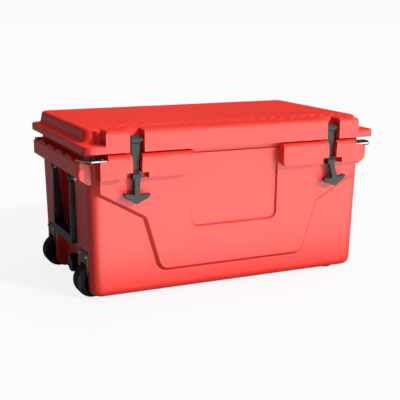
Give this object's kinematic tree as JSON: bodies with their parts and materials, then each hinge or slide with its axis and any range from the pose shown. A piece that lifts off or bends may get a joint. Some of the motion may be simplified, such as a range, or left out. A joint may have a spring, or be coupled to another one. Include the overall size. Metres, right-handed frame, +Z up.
{
  "type": "wheeled hard cold box",
  "caption": "Wheeled insulated hard cold box with a hinged lid, rubber pull latches, swing handles, padlock plates and a drain cap.",
  "frame": {"origin": "on the floor under the middle of the whole box, latches and hinge counted", "axes": "+X along the length to the right end, +Y to the hinge side at the rear, +Z up"},
  "size_m": [0.819, 0.511, 0.427],
  "materials": {
    "red_plastic": "fine orange-peel moulding grain, satin",
    "red_plug": "satin",
    "foam": "rigid foam, matt",
    "gasket_rubber": "soft, matt",
    "latch_rubber": "satin black-green",
    "tyre_rubber": "matt",
    "foot_rubber": "matt",
    "black_plastic": "satin",
    "black_steel": "dark zinc",
    "steel": "brushed"
  },
  "bodies": {
    "box": {"tub_shell": "red_plastic", "tub_foam": "foam", "tub_foam_plugs": "red_plug", "hinge_rod_left": "steel", "hinge_rod_right": "steel", "lock_plate_left": "steel", "lock_plate_right": "steel", "lock_bush_left": "black_plastic", "lock_bush_right": "black_plastic", "lock_plate_screws": "steel", "handle_pins": "steel", "wheel_axle_front": "steel", "wheel_axle_rear": "steel", "axle_nuts": "steel", "wheel_bracket_front": "black_steel", "wheel_bracket_rear": "black_steel", "wheel_bracket_screws": "steel", "drain_fitting": "black_plastic", "drain_washer": "gasket_rubber", "drain_nut": "black_plastic", "drain_leash": "gasket_rubber", "foot_front": "foot_rubber", "foot_rear": "foot_rubber", "foot_screws": "steel"},
    "lid": {"lid_shell": "red_plastic", "lid_foam": "foam", "lid_foam_plugs": "red_plug", "lid_gasket": "gasket_rubber", "latch_pin_left": "steel", "latch_pin_right": "steel"},
    "latch_left_body": {"latch_left": "latch_rubber"},
    "latch_right_body": {"latch_right": "latch_rubber"},
    "handle_left_body": {"handle_left": "black_plastic"},
    "handle_right_body": {"handle_right": "black_plastic"},
    "wheel_front": {"wheel_tyre_front": "tyre_rubber", "wheel_hub_front": "black_plastic"},
    "wheel_rear": {"wheel_tyre_rear": "tyre_rubber", "wheel_hub_rear": "black_plastic"},
    "cap": {"drain_cap": "black_plastic"}
  },
  "joints": [
    {"name": "lid_hinge", "type": "hinge", "parent": "box", "child": "lid", "pos_m": [0, 0.2465, 0.372], "axis": [-1, 0, 0], "range_deg": [0, 95]},
    {"name": "left_latch_swing", "type": "hinge", "parent": "lid", "child": "latch_left_body", "pos_m": [-0.2735, -0.237, 0.402], "axis": [-1, 0, 0], "range_deg": [0, 150]},
    {"name": "right_latch_swing", "type": "hinge", "parent": "lid", "child": "latch_right_body", "pos_m": [0.2735, -0.237, 0.402], "axis": [-1, 0, 0], "range_deg": [0, 150]},
    {"name": "left_handle_swing", "type": "hinge", "parent": "box", "child": "handle_left_body", "pos_m": [-0.386, -0.0005, 0.293], "axis": [0, 1, 0], "range_deg": [0, 90]},
    {"name": "right_handle_swing", "type": "hinge", "parent": "box", "child": "handle_right_body", "pos_m": [0.386, -0.0005, 0.293], "axis": [0, -1, 0], "range_deg": [0, 90]},
    {"name": "front_wheel_spin", "type": "hinge", "parent": "box", "child": "wheel_front", "pos_m": [-0.363, -0.1505, 0.042], "axis": [0, 1, 0], "continuous": true},
    {"name": "rear_wheel_spin", "type": "hinge", "parent": "box", "child": "wheel_rear", "pos_m": [-0.363, 0.1495, 0.042], "axis": [0, 1, 0], "continuous": true},
    {"name": "drain_cap_turn", "type": "hinge", "parent": "box", "child": "cap", "pos_m": [-0.367, -0.0005, 0.046], "axis": [-1, 0, 0], "range_deg": [0, 540]}
  ]
}
